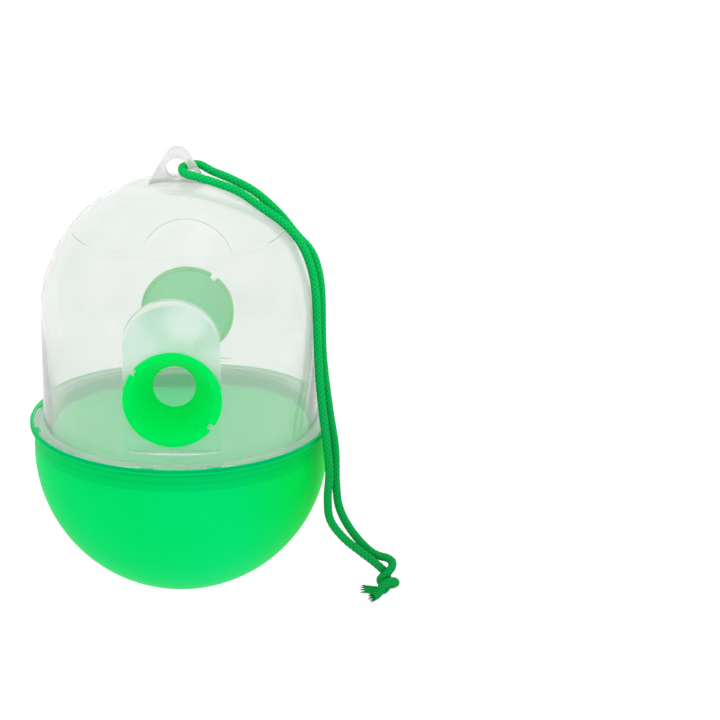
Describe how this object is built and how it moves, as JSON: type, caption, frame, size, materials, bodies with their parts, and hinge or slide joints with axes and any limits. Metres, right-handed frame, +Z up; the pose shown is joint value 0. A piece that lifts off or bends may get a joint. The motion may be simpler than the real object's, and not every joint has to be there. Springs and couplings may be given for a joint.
{
  "type": "wasp trap",
  "caption": "Hanging wasp trap: round bait bowl, clear domed lid with a hanging lug, opposed inward entry funnels and a looped, knotted cord.",
  "frame": {"origin": "on the bowl's axis, at the plane that its foot ring stands on", "axes": "+Z up along the bowl's axis, through the lug; the ports face -Y (front) and +Y (rear); the cord lies to +X"},
  "size_m": [0.1353, 0.11, 0.1623],
  "materials": {
    "green_bowl": "injection moulded translucent green polypropylene, satin gloss",
    "clear_dome": "injection moulded natural polypropylene, clear and slightly milky, frosted on the port pads",
    "green_funnel": "injection moulded green polypropylene, satin",
    "green_cord": "round braided polypropylene cord"
  },
  "bodies": {
    "bowl": {"bait_bowl": "green_bowl"},
    "dome": {"clear_dome": "clear_dome", "hanging_cord": "green_cord", "cord_knot": "green_cord"},
    "front_funnel": {"front_entry_funnel": "green_funnel"},
    "rear_funnel": {"rear_entry_funnel": "green_funnel"}
  },
  "joints": [
    {"name": "dome_lift", "type": "slide", "parent": "bowl", "child": "dome", "axis": [0, 0, 1], "range_m": [0, 0.06]},
    {"name": "front_funnel_pull", "type": "slide", "parent": "dome", "child": "front_funnel", "axis": [0, -1, 0], "range_m": [0, 0.025]},
    {"name": "rear_funnel_pull", "type": "slide", "parent": "dome", "child": "rear_funnel", "axis": [0, 1, 0], "range_m": [0, 0.025]}
  ]
}
